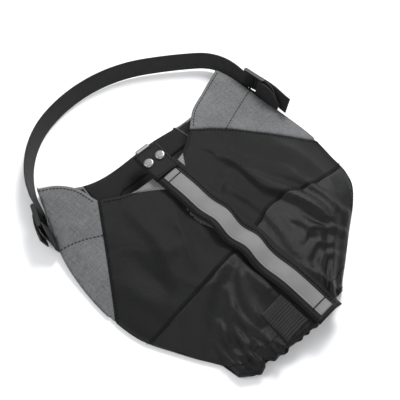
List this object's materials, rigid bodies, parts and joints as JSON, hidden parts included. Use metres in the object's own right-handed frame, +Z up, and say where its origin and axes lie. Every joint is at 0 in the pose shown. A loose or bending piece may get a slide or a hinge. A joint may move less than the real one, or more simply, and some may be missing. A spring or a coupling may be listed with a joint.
{
  "type": "ankle gaiter",
  "caption": "Low snow gaiter for one boot: gathered ankle cuff, front storm flap with lace hook, and an adjustable strap under the instep.",
  "frame": {"origin": "on the flat underside of the back panel, under the middle of the sleeve, on the line of the storm flap", "axes": "+X across the front to the side where the flap is sewn, +Y from the ankle cuff to the boot opening, +Z up from the surface it lies on, out of the front"},
  "size_m": [0.2901, 0.3518, 0.0308],
  "materials": {
    "black_oxford": "heavy coated oxford cloth, matt",
    "black_nylon": "light coated nylon, soft sheen",
    "grey_oxford": "grey oxford cloth, fine cross weave",
    "facing": "plain lining cloth",
    "grey_ripstop": "grey ripstop with a fine grid",
    "hook_and_loop": "black hook-and-loop tape",
    "elastic": "covered elastic",
    "reflective": "silver-grey reflective tape",
    "webbing": "black ribbed nylon webbing",
    "black_plastic": "moulded acetal, satin",
    "steel": "nickel-plated, worn"
  },
  "bodies": {
    "root": {"left_front_lower_panel": "black_oxford", "right_front_lower_panel": "black_oxford", "back_lower_panel": "black_oxford", "left_front_upper_panel": "black_nylon", "right_front_upper_panel": "black_nylon", "back_upper_panel": "black_nylon", "left_side_wing": "grey_oxford", "right_side_wing": "grey_oxford", "left_wing_facing": "facing", "right_wing_facing": "facing", "back_hem_facing": "facing", "cuff_casing": "black_nylon", "cuff_elastic": "elastic", "cuff_loop_patch": "hook_and_loop", "loop_tape": "hook_and_loop", "left_toe_reinforcement": "grey_ripstop", "right_toe_reinforcement": "grey_ripstop", "flap_sewn_edge": "black_oxford"},
    "flap": {"storm_flap": "black_oxford", "hook_tape": "hook_and_loop", "reflective_tape": "reflective", "flap_end_tab": "black_oxford", "lace_hook": "steel", "rivet_caps": "steel", "rivet_bases": "steel"},
    "strap": {"instep_webbing": "webbing", "left_ladder_lock": "black_plastic", "right_ladder_lock": "black_plastic", "left_anchor_webbing": "webbing", "right_anchor_webbing": "webbing"}
  },
  "joints": [
    {"name": "front_flap_open", "type": "hinge", "parent": "root", "child": "flap", "pos_m": [0.01165, 0, 0.029], "axis": [0, 1, 0], "range_deg": [0, 165]},
    {"name": "instep_strap_swing", "type": "hinge", "parent": "root", "child": "strap", "pos_m": [-0.13229, 0.10417, 0.0125], "axis": [0.9882, -0.153, 0], "range_deg": [0, 110]}
  ]
}
